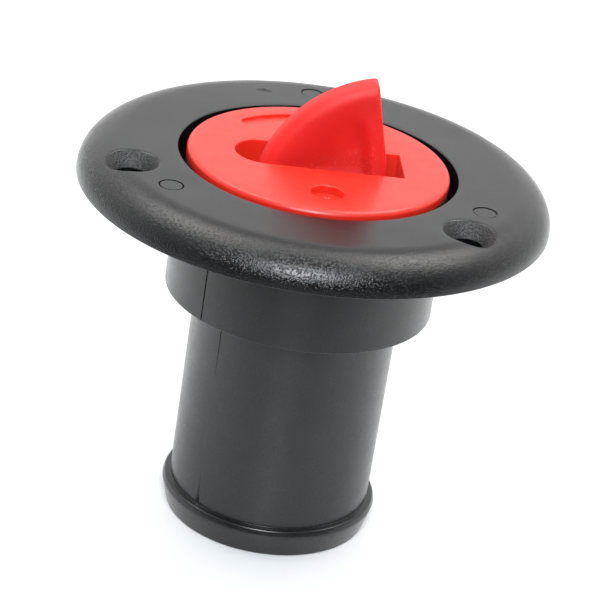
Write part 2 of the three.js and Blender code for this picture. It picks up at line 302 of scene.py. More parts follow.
def stack(name, outline, levels):
    """A solid of an outline function's rings, one for each (z, margin) level from the bottom up."""
    points, rings = [], []
    for z, margin in levels:
        ring = [(x, y, z) for x, y in outline(margin)]
        rings.append(list(range(len(points), len(points) + len(ring))))
        points += ring
    faces = [rings[0][::-1], rings[-1]]
    for low, high in zip(rings, rings[1:]):
        faces += quads(low, high)
    return build(name, points, faces)


def moved(piece, matrix):
    """The piece's mesh turned and shifted by a matrix in millimetres."""
    piece.data.transform(Matrix.Translation(matrix.translation * MM) @ matrix.to_3x3().to_4x4())
    return piece


def boolean(target, tool, operation):
    """Joins or cuts target with tool, which is used up."""
    change = target.modifiers.new("boolean", "BOOLEAN")
    change.operation = operation
    change.object = tool
    change.solver = "EXACT"
    bpy.context.view_layer.update()
    depsgraph = bpy.context.evaluated_depsgraph_get()
    mesh = bpy.data.meshes.new_from_object(target.evaluated_get(depsgraph))
    target.modifiers.clear()
    old = target.data
    target.data = mesh
    mesh.name = old.name
    bpy.data.meshes.remove(old)
    bpy.data.objects.remove(tool)
    return target


def cut(target, *tools):
    for tool in tools:
        boolean(target, tool, "DIFFERENCE")
    return target


def join(target, *tools):
    for tool in tools:
        boolean(target, tool, "UNION")
    return target


def slab(name, low, high):
    """A plain block between two corners."""
    corners = [(low[0], low[1]), (high[0], low[1]), (high[0], high[1]), (low[0], high[1])]
    return stack(name, lambda margin: corners, [(low[2], 0), (high[2], 0)])


def about_pin(name, outline):
    """A turned piece on the handle's pin: (radius, t) outline, in the cap's slot frame."""
    upright = Matrix.Rotation(-math.pi / 2, 4, "X")
    place = Matrix.Translation((PIVOT.x, 0, PIVOT.z)) @ upright
    return moved(lathe(name, outline, SMALL_RING), place)


def thread_ridge(name, wall_r, side, top, turns):
    """A right-hand thread ridge on a wall, outward for side 1 and inward for side -1, faded at its ends."""
    per_turn, fade_steps, blunt = 72, 9, 0.05
    steps = round(turns * per_turn)
    ease = THREAD["ease"]
    points = []
    for i in range(steps + 1):
        angle = -2 * math.pi * i / per_turn
        fade = min(1.0, blunt + i / fade_steps, blunt + (steps - i) / fade_steps)
        mid = top + THREAD["lead"] * angle / (2 * math.pi)
        crest = wall_r + side * THREAD["height"] * fade
        root = wall_r - side * THREAD["bury"]
        section = [
            (root, -THREAD["root"] / 2),
            (crest - side * ease, -THREAD["crest"] / 2 - ease / 2),
            (crest, -THREAD["crest"] / 2 + ease),
            (crest, THREAD["crest"] / 2 - ease),
            (crest - side * ease, THREAD["crest"] / 2 + ease / 2),
            (root, THREAD["root"] / 2),
        ]
        points += [(r * math.cos(angle), r * math.sin(angle), mid + z) for r, z in section]
    width = len(section)
    rows = [list(range(k, k + width)) for k in range(0, len(points), width)]
    faces = []
    for row, after in zip(rows, rows[1:]):
        faces += quads(row, after)
    return build(name, points, [*faces, rows[0], rows[-1][::-1]])


def round_axis(angle_deg, radius=0.0):
    """A place on a circle about the neck's axis, turned to face outwards."""
    return Matrix.Rotation(math.radians(angle_deg), 4, "Z") @ Matrix.Translation((radius, 0, 0))


def smooth(piece, angle=35):
    """Smooth shading, broken where two faces meet at more than the angle."""
    piece.data.shade_smooth()
    piece.data.set_sharp_from_angle(angle=math.radians(angle))
    return piece


# ---- the neck ----


def dome_height(r):
    """Height of the flange's top over the deck at a radius."""
    start = FLANGE_R - DOME["width"]
    rise = FLANGE_TOP - DECK_Z - DOME["edge"]
    if r <= start:
        return DOME["edge"] + rise
    across = min(1.0, (r - start) / DOME["width"])
    return DOME["edge"] + rise * math.sqrt(1 - across * across)


def neck_outline():
    """The neck's section as (radius, z, easing), from the bore's foot round the outside and back."""
    start = FLANGE_R - DOME["width"]
    rise = FLANGE_TOP - DECK_Z - DOME["edge"]
    dome = arc(0, 0, 1, 0, math.pi / 2, 28)
    border = [(start + DOME["width"] * c, DECK_Z + DOME["edge"] + rise * s, 0) for c, s in dome]
    flat = [(start - 1.5 * i, FLANGE_TOP, 0) for i in range(1, 7)]
    seat = FLANGE_TOP - RECESS["depth"]
    shoulder = seat - THREAD_BORE["depth"]
    return eased(
        [
            (TAIL["bore"], 0, 0.4),
            (BARB["end_r"], 0, 0.5),
            (BARB["r"] - 0.12, BARB["top"] - 1.75, 0.5),
            (BARB["r"], BARB["top"] - 1.2, 0.4),
            (BARB["r"] - 0.35, BARB["top"] - 0.15, 0.45),
            (TAIL["low_r"], BARB["top"], 0.08),
            (TAIL["high_r"], COLLAR["low"], 0.15),
            (COLLAR["r"], COLLAR["low"], 0.22),
            (COLLAR["r"], DECK_Z, 0.3),
            (CORE["inner"], DECK_Z, 0.3),
            (CORE["inner"], DECK_Z + CORE["depth"], 0.5),
            (CORE["outer"], DECK_Z + CORE["depth"], 0.5),
            (CORE["outer"], DECK_Z, 0.3),
            (FLANGE_R, DECK_Z, 0.12),
            *border,
            *flat,
            (RECESS["r"] + RECESS["lip"], FLANGE_TOP, 0.05),
            (RECESS["r"], FLANGE_TOP - RECESS["lip"], 0.05),
            (RECESS["r"], seat, 0.3),
            (THREAD_BORE["r"], seat, 0.3),
            (THREAD_BORE["r"], shoulder + 1, 0.4),
            (THREAD_BORE["r"] - 1, shoulder, 0.4),
            (TAIL["bore"], shoulder, 0.8),
        ]
    )


def screw_axis(k):
    """The axis of one of the three screw holes."""
    return round_axis(SCREW["first"] + 120 * k, SCREW["circle"])


def screw_hole(name):
    """A cutter for one countersunk screw hole, whose rounded rim follows the flange's dome."""
    facets, flare, steps = 96, SCREW["flare"], 5
    sink = FLANGE_TOP - SCREW["sink"]
    rings = [(SCREW["r"], DECK_Z - 1), (SCREW["r"], sink), (SCREW["r"] + 0.08, sink + 0.15)]
    turns = [2 * math.pi * k / facets for k in range(facets)]
    points = [(r * math.cos(a), r * math.sin(a), z) for r, z in rings for a in turns]
    cone = math.pi / 4
    for i in range(steps + 2):
        a = cone + (math.pi / 2 - cone) * min(i, steps) / steps
        r = SCREW["head"] + flare * (math.cos(cone) - math.cos(a))
        for turn in turns:
            x, y = r * math.cos(turn), r * math.sin(turn)
            surface = DECK_Z + dome_height(math.hypot(SCREW["circle"] + x, y))
            z = surface - flare * (1 - math.sin(a)) + 0.002
            points.append((x, y, FLANGE_TOP + 1 if i > steps else z))
    rows = [list(range(k, k + facets)) for k in range(0, len(points), facets)]
    faces = [rows[0][::-1], rows[-1]]
    for low, high in zip(rows, rows[1:]):
        faces += quads(low, high)
    return build(name, points, faces)


def ejector_mark(name, depth):
    """A cutter for an ejector pin's round mark, with the thin groove that the pin's clearance leaves."""
    r, top = EJECTOR["r"], FLANGE_TOP + 1
    low = FLANGE_TOP - depth
    groove, bottom = r - EJECTOR["groove"], low - EJECTOR["groove_depth"]
    draft = EJECTOR["draft"]
    outline = [(0, low), (groove, low), (groove + draft, bottom), (r, bottom), (r + draft, top), (0, top)]
    return lathe(name, outline, SMALL_RING)


def gate_spot(name):
    """A shallow bowl where the mould's gate was trimmed."""
    r, depth, steps = GATE_SPOT["r"], GATE_SPOT["depth"], 6
    turns = [math.pi / 2 * k / steps for k in range(1, steps + 1)]
    bowl = [(FLANGE_TOP - depth * math.cos(a), -r * (1 - math.sin(a))) for a in turns]
    return stack(name, circle(r, facets=32), [*bowl, (FLANGE_TOP + 1, 0)])


def seam_cutter(name, low, high, widths, depths, wall_r):
    """A V groove down a wall, from (bottom, top) widths and depths."""
    points = []
    for z, width, depth in ((low, widths[0], depths[0]), (high, widths[1], depths[1])):
        points += [(wall_r - depth, 0, z), (wall_r + 0.3, width, z), (wall_r + 0.3, -width, z)]
    faces = [[0, 1, 2], [5, 4, 3], [0, 3, 4, 1], [1, 4, 5, 2], [2, 5, 3, 0]]
    return build(name, points, faces)


def seams():
    """The mould's parting line: full height on the collar, fading down the tail, and a nick at the barb."""
    width, depth, thin = SEAM["width"], SEAM["depth"], 0.02
    faded = COLLAR["low"] - SEAM["fade"]
    nick_low = BARB["top"] + 0.05
    nick_high = nick_low + SEAM["nick"]
    nick_widths, nick_depths = (SEAM["nick_width"], thin), (SEAM["nick_depth"], 0.0)
    tools = []
    low, high = COLLAR["low"] - 0.5, DECK_Z - 0.4
    for angle in (SEAM["angle"], SEAM["angle"] + 180):
        turn = round_axis(angle)
        lines = [
            seam_cutter("seam", low, high, (width, width), (depth, depth), COLLAR["r"]),
            seam_cutter("seam", faded, COLLAR["low"] - thin, (thin, width), (0.0, depth), TAIL["high_r"]),
            seam_cutter("nick", nick_low, nick_high, nick_widths, nick_depths, TAIL["low_r"]),
        ]
        tools += [moved(line, turn) for line in lines]
    return tools


def neck():
    """The one-piece neck: turned body, ribs and screw bosses under the flange, holes, marks and thread."""
    body = lathe("filler_neck", neck_outline())
    bite, inset_z = 0.6, 0.4
    rib_top = DECK_Z + CORE["depth"] + inset_z
    low = (CORE["inner"] - bite, -CORE["rib"] / 2, DECK_Z + inset_z)
    high = (CORE["outer"] + bite, CORE["rib"] / 2, rib_top)
    for k in range(CORE["ribs"]):
        place = round_axis(SCREW["first"] + 15 + 360 / CORE["ribs"] * k)
        join(body, moved(slab("rib", low, high), place))
    for k in range(3):
        boss = stack("boss", circle(SCREW["boss"]), [(DECK_Z, 0), (rib_top, 0)])
        join(body, moved(boss, screw_axis(k)))
    for k in range(3):
        cut(body, moved(screw_hole("hole"), screw_axis(k)))
        place = round_axis(EJECTOR["angles"][k], EJECTOR["circle"])
        cut(body, moved(ejector_mark("ejector", EJECTOR["depths"][k]), place))
    cut(body, moved(gate_spot("gate"), round_axis(GATE_SPOT["angle"], GATE_SPOT["circle"])))
    cut(body, *seams())
    join(body, thread_ridge("neck_thread", THREAD_BORE["r"], -1, NECK_THREAD["top"], NECK_THREAD["turns"]))
    return smooth(body)


# ---- the cap ----


def slot_outline(margin):
    """Round at the left end, square at the right."""
    half = SLOT["half"] + margin
    right = SLOT["right"] + margin
    left = arc(SLOT["left"] + SLOT["half"], 0, half, math.pi / 2, 3 * math.pi / 2, 40)
    across = [(right, -half + 2 * half * i / 6) for i in range(7)]
    return across + left


def label_outline(margin):
    """A blank banana-shaped panel that follows the cap's edge."""
    mid = (LABEL["inner"] + LABEL["outer"]) / 2
    half = (LABEL["outer"] - LABEL["inner"]) / 2 + margin
    start, end = math.radians(LABEL["from"]), math.radians(LABEL["to"])
    outer = arc(0, 0, mid + half, start, end, 24)
    inner = arc(0, 0, mid - half, end, start, 24)
    left = arc(mid * math.cos(end), mid * math.sin(end), half, end, end + math.pi, 12)
    right = arc(mid * math.cos(start), mid * math.sin(start), half, start - math.pi, start, 12)
    return outer[:-1] + left[:-1] + inner[:-1] + right[:-1]


def sunk_in_cap(name, outline, bottom, ease):
    """A cutter from a depth to above the cap's face, flared where it breaks the face."""
    steps = 5
    turns = [math.pi / 2 * i / steps for i in range(steps + 1)]
    rim = [(CAP_TOP - ease + ease * math.sin(a), ease * (1 - math.cos(a))) for a in turns]
    return stack(name, outline, [(bottom, 0.0), *rim, (CAP_TOP + 1, ease)])


def pin_bore(reach):
    """A cutter for the pin's hole, as far as reach on both sides."""
    bore = PIN["r"] + GAP
    return about_pin("pin_hole", [(0, -reach), (bore, -reach), (bore, reach), (0, reach)])


def cap_disc():
    """The cap's face with the slot's walls below it, the gate dimple and the label's blank recess."""
    low, r, wall = CAP_TOP - CAP["thick"], CAP["r"], SLOT["wall"]
    rings = [(r * k / 8, CAP_TOP, 0) for k in range(7, 0, -1)]
    corners = [(0, low, 0), (r, low, 0.3), (r, CAP_TOP, CAP["round"]), *rings, (0, CAP_TOP, 0)]
    disc = lathe("cap_disc_face", eased(corners))
    join(disc, stack("walls", slot_outline, [(SLOT["low"], wall), (low + 0.5, wall)]))
    cut(disc, sunk_in_cap("slot", slot_outline, SLOT["low"] - 1, SLOT["ease"]))
    angle = math.radians(DIMPLE["angle"])
    spot = (DIMPLE["circle"] * math.cos(angle), DIMPLE["circle"] * math.sin(angle))
    floor = CAP_TOP - DIMPLE["depth"]
    cut(disc, sunk_in_cap("dimple", circle(DIMPLE["r"], *spot), floor, DIMPLE["ease"]))
    nub = [(floor - 0.2, 0), (floor + NUB["base"], 0), (CAP_TOP - NUB["top"], -NUB["taper"])]
    join(disc, stack("gate_nub", circle(NUB["r"], *spot, 24), nub))
    cut(disc, sunk_in_cap("label", label_outline, CAP_TOP - LABEL["depth"], LABEL["ease"]))
    cut(disc, pin_bore(SLOT["half"] + wall + 1))
    return smooth(disc)


def cap_plug():
    """The threaded cup, with the keel through its floor that the folded fin drops into."""
    low, r, rim = PLUG["low"], PLUG["r"], CAP_TOP - CAP["thick"] - GAP
    inner, floor_top = r - PLUG["wall"], low + PLUG["floor"]
    corners = [(0, low, 0), (r, low, 1.0), (r, rim, 0.2), (inner, rim, 0.2), (inner, floor_top, 0.8)]
    plug = lathe("cap_plug_cup", eased([*corners, (0, floor_top, 0)]))
    outer_r = KEEL["cavity_r"] + KEEL["wall"]
    outer_half = KEEL["half"] + KEEL["wall"]
    right = KEEL["right"] + KEEL["wall"]
    ends = [(outer_r, -outer_half, 0.5), (outer_r, outer_half, 0.5)]
    keel = about_pin("keel", eased([(0, -outer_half, 0), *ends, (0, outer_half, 0)]))
    keep_low = (-outer_r, -outer_half - 1, PIVOT.z - outer_r - 1)
    keep_high = (right, outer_half + 1, low + PLUG["floor"] / 2)
    boolean(keel, slab("keep", keep_low, keep_high), "INTERSECT")
    half, cavity_r = KEEL["half"], KEEL["cavity_r"]
    cavity = about_pin("cavity", [(0, -half), (cavity_r, -half), (cavity_r, half), (0, half)])
    keep_low = (-outer_r, -outer_half, PIVOT.z - outer_r)
    boolean(cavity, slab("keep", keep_low, (KEEL["right"], outer_half, floor_top + 1)), "INTERSECT")
    join(plug, keel)
    chamfer, boss_low = 0.3, SWIVEL["boss_low"]
    levels = [(boss_low, -chamfer), (boss_low + chamfer, 0), (low + 0.5, 0)]
    join(plug, stack("boss", circle(SWIVEL["boss"]), levels))
    cut(plug, cavity)
    levels = [(boss_low - 1, 0), (SWIVEL_SCREW["top"] + GAP, 0)]
    cut(plug, stack("screw_hole", circle(SWIVEL_SCREW["r"] + GAP), levels))
    ridge = thread_ridge("cap_thread", r, 1, CAP_THREAD["top"], CAP_THREAD["turns"])
    join(plug, moved(ridge, CAP_TURN.inverted()))
    return smooth(plug)


def cap_seal():
    """The O-ring, halfway between its seat and the disc."""
    middle = (FLANGE_TOP - RECESS["depth"] + CAP_TOP - CAP["thick"]) / 2
    section = circle(SEAL["section"] / 2, SEAL["mid"], middle, 24)(0)
    return smooth(lathe("seal_ring", section), 60)


# ---- the handle ----


def on_fin(along, out):
    """A point from the pivot: along is up the straight edge, out is towards it."""
    lean = FIN["lean"]
    s = PIVOT.x + out * math.cos(lean) - along * math.sin(lean)
    z = PIVOT.z + out * math.sin(lean) + along * math.cos(lean)
    return Vector((s, z))


def fin_outline():
    """The fin in the s-z plane as (s, z, squareness): 1 where the edge is eased, 0 on the round arc."""
    centre = Vector((FIN["arc_s"], FIN["arc_z"]))
    start = on_fin(0, FIN["edge"] - FIN["tip_r"])
    up = (on_fin(1, 0) - on_fin(0, 0)).normalized()
    b = (start - centre).dot(up)
    c = (start - centre).length_squared - (FIN["arc_r"] - FIN["tip_r"]) ** 2
    tip = start + up * (-b + math.sqrt(b * b - c))
    tip_angle = math.atan2(tip.y - centre.y, tip.x - centre.x)
    bottom = PIVOT.z - FIN["drop"]
    corner_r = FIN["corner_r"]
    end_angle = math.pi + math.asin((centre.y - bottom - corner_r) / (FIN["arc_r"] - corner_r))
    corner = centre + (FIN["arc_r"] - corner_r) * Vector((math.cos(end_angle), math.sin(end_angle)))
    heel = on_fin(FIN["heel_start"], FIN["edge"] - FIN["heel_r"])
    heel_end = FIN["lean"] - FIN["heel_sweep"]
    hub_s, hub_z, hub_r = FIN["hub"]
    underside = [(corner.x + (PIVOT.x - 1 - corner.x) * i / 24, bottom) for i in range(1, 25)]
    hub = arc(PIVOT.x + hub_s, PIVOT.z + hub_z, hub_r, -math.pi / 2, heel_end, 14)
    edge_low = on_fin(FIN["heel_start"], FIN["edge"])
    edge_high = tip + FIN["tip_r"] * Vector((math.cos(FIN["lean"]), math.sin(FIN["lean"])))
    edge = [tuple(edge_low.lerp(edge_high, i / 30)) for i in range(1, 30)]
    tip_steps = 10
    tip_arc = arc(tip.x, tip.y, FIN["tip_r"], FIN["lean"], tip_angle, tip_steps)
    square = hub + arc(heel.x, heel.y, FIN["heel_r"], heel_end, FIN["lean"], 16)[1:] + edge
    outline = [(s, z, 1.0) for s, z in square]
    outline += [(s, z, 1 - i / tip_steps) for i, (s, z) in enumerate(tip_arc)]
    outline += [(s, z, 0.0) for s, z in arc(centre.x, centre.y, FIN["arc_r"], tip_angle, end_angle, 90)[1:]]
    corner_arc = arc(corner.x, corner.y, corner_r, end_angle, 1.5 * math.pi, 8)[1:]
    outline += [(s, z, (i + 1) / 8) for i, (s, z) in enumerate(corner_arc)]
    return outline + [(s, z, 1.0) for s, z in underside]


def ramp(value):
    """0 below 0, 1 above 1 and a smooth rise between."""
    value = max(0.0, min(1.0, value))
    return value * value * (3 - 2 * value)


def rounding(depth, width, drop):
    """How far the surface of an edge rounded over width and drop has dropped at a depth in from the edge."""
    short = max(0.0, 1 - depth / width)
    return drop * (1 - math.sqrt(1 - short * short))


def fin_half(s, z):
    """Half the fin's thickness: round towards the arc, with a thumb dish beside the straight edge."""
    from_edge = FIN["edge"] - (Vector((s, z)) - on_fin(0, 0)).dot(on_fin(0, 1) - on_fin(0, 0))
    from_arc = max(0.0, FIN["arc_r"] - math.hypot(s - FIN["arc_s"], z - FIN["arc_z"]))
    height = z - DECK_Z - DISH["base"]
    band = FIN["round_low"] + (FIN["round_high"] - FIN["round_low"]) * ramp(2 * height / FIN["arc_r"])
    wall = DISH["wall"] + DISH["wall_growth"] * max(0.0, height)
    across = ramp((from_edge - DISH["edge_rim"]) / wall)
    inward = ramp((from_arc - band - DISH["arc_rim"]) / DISH["fade"])
    upward = ramp(height / DISH["rise"])
    depth = DISH["depth"] + DISH["deepening"] * ramp(1 - from_edge / DISH["deepened"])
    dish = depth * across * inward * upward
    return FIN["half"] - rounding(from_arc, band, FIN["round_depth"]) - dish


def inset(outline, distance):
    """The outline's places moved inwards along its own normals."""
    moved_points = []
    count = len(outline)
    for i in range(count):
        before, after = Vector(outline[i - 1][:2]), Vector(outline[(i + 1) % count][:2])
        along = (after - before).normalized()
        moved_points.append(Vector(outline[i][:2]) + Vector((-along.y, along.x)) * distance)
    return moved_points


def edge_loops(outline):
    """Rings of (s, z, half thickness) that step in from the fin's outline over its eased edge."""
    ease, steps = FIN["ease"], 6
    loops = []
    for i in range(steps + 1):
        depth = ease * (1 - math.cos(math.pi / 2 * i / steps))
        places = inset(outline, depth)
        drop = rounding(depth, ease, ease)
        halves = [fin_half(p.x, p.y) - corner[2] * drop for p, corner in zip(places, outline)]
        loops.append([(p.x, p.y, half) for p, half in zip(places, halves)])
    return loops


def inside(x, y, outline):
    """Whether a point lies inside a closed outline."""
    within = False
    for i in range(len(outline)):
        (ax, ay), (bx, by) = outline[i - 1], outline[i]
        if (ay > y) != (by > y) and x < (bx - ax) * (y - ay) / (by - ay) + ax:
            within = not within
    return within


def inner_grid(rim, core, spacing):
    """Places on a staggered grid over the rim's extent that lie inside the core outline."""
    low_s, high_s = min(p.x for p in rim), max(p.x for p in rim)
    low_z, high_z = min(p.y for p in rim), max(p.y for p in rim)
    grid = []
    for row in range(math.ceil((high_z - low_z) / spacing)):
        z = low_z + row * spacing
        for column in range(math.ceil((high_s - low_s) / spacing)):
            s = low_s + (column + 0.5 * (row % 2)) * spacing
            if inside(s, z, core):
                grid.append(Vector((s, z)))
    return grid


def handle():
    """The fin: two triangulated faces, their eased edges and a band of quads between them."""
    outline = fin_outline()
    loops = edge_loops(outline)
    spacing, across = 0.45, 6
    rim = [Vector((s, z)) for s, z, half in loops[-1]]
    core = [tuple(p) for p in inset(outline, FIN["ease"] + 0.6 * spacing)]
    edges = [(i, (i + 1) % len(rim)) for i in range(len(rim))]
    found = geometry.delaunay_2d_cdt(rim + inner_grid(rim, core, spacing), edges, [], 1, 1e-5)
    places, triangles = found[0], found[2]
    points, faces, outer_rings = [], [], []
    for side in (-1, 1):
        base = len(points)
        points += [(p.x, side * fin_half(p.x, p.y), p.y) for p in places]
        faces += [[base + k for k in triangle] for triangle in triangles]
        ring = [base + k for k in range(len(rim))]
        for loop in reversed(loops[:-1]):
            outer = list(range(len(points), len(points) + len(loop)))
            points += [(s, side * half, z) for s, z, half in loop]
            faces += quads(ring, outer)
            ring = outer
        outer_rings.append(ring)
    ring = outer_rings[0]
    for i in range(1, across):
        middle = list(range(len(points), len(points) + len(outline)))
        points += [(s, half * (2 * i / across - 1), z) for s, z, half in loops[0]]
        faces += quads(ring, middle)
        ring = middle
    faces += quads(ring, outer_rings[1])
    return smooth(cut(build("fin_handle", points, faces), pin_bore(FIN["half"] + 2)), 40)


def pin_face():
    """How far from the slot's middle the pin's head and its clip sit."""
    return SLOT["half"] + SLOT["wall"] + GAP


def handle_pin():
    face, head, r = pin_face(), PIN["head"], PIN["r"]
    start, end = -face - PIN["head_h"], face + PIN["clip_h"] + PIN["past_clip"]
    corners = [(0, start, 0), (head, start, 0.4), (head, -face, 0.1), (r, -face, 0.05)]
    return smooth(about_pin("pivot_pin", eased([*corners, (r, end, 0.3), (0, end, 0)])))


def ring_on_pin(name, outer, low, high, ease):
    """A flat ring round the pin, from low to high along it."""
    inner = PIN["r"] + GAP
    corners = [(inner, low, ease), (outer, low, ease), (outer, high, ease), (inner, high, ease)]
    return smooth(about_pin(name, eased(corners)))


def pin_clip():
    return ring_on_pin("pivot_clip", PIN["clip"], pin_face(), pin_face() + PIN["clip_h"], 0.08)


def washer(name, side):
    """The washer between the fin and the slot's wall, in front for side -1 and behind for side 1."""
    near, far = FIN["half"] + GAP, SLOT["half"] - GAP
    low, high = (-far, -near) if side < 0 else (near, far)
    return ring_on_pin(name, WASHER_R, low, high, 0.2)


# ---- the lanyard's swivel ----


def swivel_outline(margin):
    """A round hub with a tapered arm and a rounded end."""
    end_r = SWIVEL["eye"] + SWIVEL["eye_wall"] + margin
    hub_r = SWIVEL["hub"] + margin
    reach = SWIVEL["reach"]
    turn = math.acos((hub_r - end_r) / reach)
    end = arc(reach, 0, end_r, -turn, turn, 20)
    return end + arc(0, 0, hub_r, turn, 2 * math.pi - turn, 48)


def lanyard_swivel():
    """The eye that a retaining lanyard is tied to, loose round its screw's shoulder."""
    top = SWIVEL["boss_low"] - GAP
    low = top - SWIVEL["thick"]
    ease, knee = 0.35, (0.1, -0.15)
    lower = [(low, -ease), (low + knee[0], knee[1]), (low + ease, 0)]
    upper = [(top - ease, 0), (top - knee[0], knee[1]), (top, -ease)]
    plate = stack("lanyard_eye", swivel_outline, lower + upper)
    through = [(low - 1, 0), (top + 1, 0)]
    cut(plate, stack("eye", circle(SWIVEL["eye"], SWIVEL["reach"]), through))
    cut(plate, stack("hole", circle(SWIVEL["shoulder"] + GAP), through))
    return smooth(plate)


def lanyard_screw():
    """The shoulder screw under the swivel, with a cross recess in its head."""
    shoulder_top = SWIVEL["boss_low"] - GAP
    head_top = shoulder_top - SWIVEL["thick"] - GAP
    low = head_top - SWIVEL_SCREW["head_h"]
    head, shoulder, r = SWIVEL_SCREW["head"], SWIVEL["shoulder"], SWIVEL_SCREW["r"]
    below = [(0, low, 0), (head, low, 1.0), (head, head_top, 0.1), (shoulder, head_top, 0.1)]
    shank = [(shoulder, shoulder_top, 0.1), (r, shoulder_top, 0.1), (r, SWIVEL_SCREW["top"], 0.6)]
    outline = eased([*below, *shank, (0, SWIVEL_SCREW["top"], 0)])
    screw = lathe("lanyard_screw_turned", outline, SMALL_RING)
    x, y = SWIVEL_SCREW["blade_half"]
    for angle in (0, 90):
        blade = slab("blade", (-x, -y, low - 1), (x, y, low + SWIVEL_SCREW["blade_h"]))
        cut(screw, moved(blade, round_axis(angle)))
    return smooth(screw)


# ---- materials ----


class Tree:
    """The emptied node tree of a material or a world, with short calls for its nodes."""

    def __init__(self, owner):
        owner.use_nodes = True
        self.tree = owner.node_tree
        self.tree.nodes.clear()

    def add(self, kind, **values):
        node = self.tree.nodes.new(kind)
        for key, value in values.items():
            setattr(node, key, value)
        return node

    def link(self, source, target):
        self.tree.links.new(source, target)

    def spread(self, source, low, high, start=0.3, end=0.7):
        """A value from start to end mapped to low..high."""
        node = self.add("ShaderNodeMapRange")
        for socket, value in (("From Min", start), ("From Max", end), ("To Min", low), ("To Max", high)):
            node.inputs[socket].default_value = value
        self.link(source, node.inputs["Value"])
        return node.outputs["Result"]


class Nodes(Tree):
    """A material's node tree round one Principled shader."""

    def __init__(self, name):
        self.material = bpy.data.materials.new(name)
        super().__init__(self.material)
        self.shader = self.add("ShaderNodeBsdfPrincipled")
        output = self.add("ShaderNodeOutputMaterial")
        self.link(self.shader.outputs[0], output.inputs["Surface"])
        self.place = self.add("ShaderNodeTexCoord").outputs["Object"]

    def noise(self, size_mm, detail=3.0, rough=0.55, stretch=(1, 1, 1)):
        """Noise with features of about size_mm, from 0 to 1."""
        mapping = self.add("ShaderNodeMapping")
        mapping.inputs["Scale"].default_value = tuple(1 / (size_mm * MM * k) for k in stretch)
        self.link(self.place, mapping.inputs["Vector"])
        texture = self.add("ShaderNodeTexNoise")
        texture.inputs["Scale"].default_value = 1.0
        texture.inputs["Detail"].default_value = detail
        texture.inputs["Roughness"].default_value = rough
        self.link(mapping.outputs[0], texture.inputs["Vector"])
        return texture.outputs["Fac"]

    def blend(self, factor, dark, light):
        """A colour between dark and light."""
        node = self.add("ShaderNodeMix", data_type="RGBA")
        node.inputs["A"].default_value = (*dark, 1)
        node.inputs["B"].default_value = (*light, 1)
        self.link(factor, node.inputs["Factor"])
        return node.outputs["Result"]

    def bump(self, height, distance_mm, under=None):
        """The normal of a height from 0 to 1 that stands distance_mm proud, over another normal."""
        node = self.add("ShaderNodeBump")
        node.inputs["Distance"].default_value = distance_mm * MM
        node.inputs["Strength"].default_value = 1.0
        self.link(height, node.inputs["Height"])
        if under is not None:
            self.link(under, node.inputs["Normal"])
        return node.outputs["Normal"]

    def set(self, socket, value):
        self.shader.inputs[socket].default_value = value

    def drive(self, socket, source):
        self.link(source, self.shader.inputs[socket])

    def driven_by(self, socket):
        """What drives one of the shader's sockets so far."""
        return self.shader.inputs[socket].links[0].from_socket

    def scatter(self, weight, radius, depth_mm):
        """Light that soaks into the plastic, deepest in red."""
        self.set("Subsurface Weight", weight)
        self.set("Subsurface Radius", radius)
        self.set("Subsurface Scale", depth_mm * MM)


def moulded(name, dark, light, roughness, grain_mm, depth_mm, ior=1.5, wave_mm=14.0):
    """Moulded plastic: slightly uneven colour and gloss, a fine grain and a faint sink waviness."""
    nodes = Nodes(name)
    nodes.drive("Base Color", nodes.blend(nodes.spread(nodes.noise(9.0, 2.0), 0, 1), dark, light))
    nodes.drive("Roughness", nodes.spread(nodes.noise(2.6, 4.0), roughness - 0.04, roughness + 0.05))
    wave = nodes.bump(nodes.noise(wave_mm, 1.0), 0.01 * wave_mm)
    nodes.drive("Normal", nodes.bump(nodes.noise(grain_mm, 3.0, 0.6), depth_mm, wave))
    nodes.set("IOR", ior)
    return nodes


def from_axis(nodes):
    """Distance from the neck's axis."""
    flat = nodes.add("ShaderNodeVectorMath", operation="MULTIPLY")
    flat.inputs[1].default_value = (1, 1, 0)
    nodes.link(nodes.place, flat.inputs[0])
    radius = nodes.add("ShaderNodeVectorMath", operation="LENGTH")
    nodes.link(flat.outputs[0], radius.inputs[0])
    return radius.outputs["Value"]


def black_grain():
    """The flange's spark-eroded skin: fine grain, and towards the rim scattered pits that sparkle."""
    dark, light = (0.005, 0.0052, 0.0056), (0.009, 0.0093, 0.0100)
    nodes = moulded("black_grain", dark, light, roughness=0.15, grain_mm=0.16, depth_mm=0.03)
    mapping = nodes.add("ShaderNodeMapping")
    mapping.inputs["Scale"].default_value = (1 / (PITS["size"] * MM),) * 3
    nodes.link(nodes.place, mapping.inputs["Vector"])
    pits = nodes.add("ShaderNodeTexVoronoi", feature="F1")
    pits.inputs["Scale"].default_value = 1.0
    nodes.link(mapping.outputs[0], pits.inputs["Vector"])
    height = nodes.spread(pits.outputs["Distance"], 1, 0, PITS["peak"], PITS["foot"])
    pitted = nodes.bump(height, PITS["depth"], nodes.driven_by("Normal"))
    amount = nodes.spread(from_axis(nodes), 0, 1, PITS["from"] * MM, PITS["full"] * MM)
    nodes.link(amount, pitted.node.inputs["Strength"])
    nodes.drive("Normal", pitted)
    return nodes.material


def black_satin():
    """The smoother collar and tail."""
    dark, light = (0.0085, 0.0083, 0.0081), (0.0115, 0.0113, 0.0111)
    return moulded("black_satin", dark, light, roughness=0.28, grain_mm=0.25, depth_mm=0.004).material


def black_gloss():
    """The barb, drawn over a polished part of the mould."""
    dark, light = (0.007, 0.0073, 0.008), (0.011, 0.0113, 0.0120)
    return moulded("black_gloss", dark, light, roughness=0.26, grain_mm=0.5, depth_mm=0.003).material


def black_sink():
    """The coarser skin of the screw holes' countersinks."""
    dark, light = (0.010, 0.010, 0.0100), (0.016, 0.016, 0.0160)
    return moulded("black_sink", dark, light, roughness=0.32, grain_mm=0.4, depth_mm=0.3).material


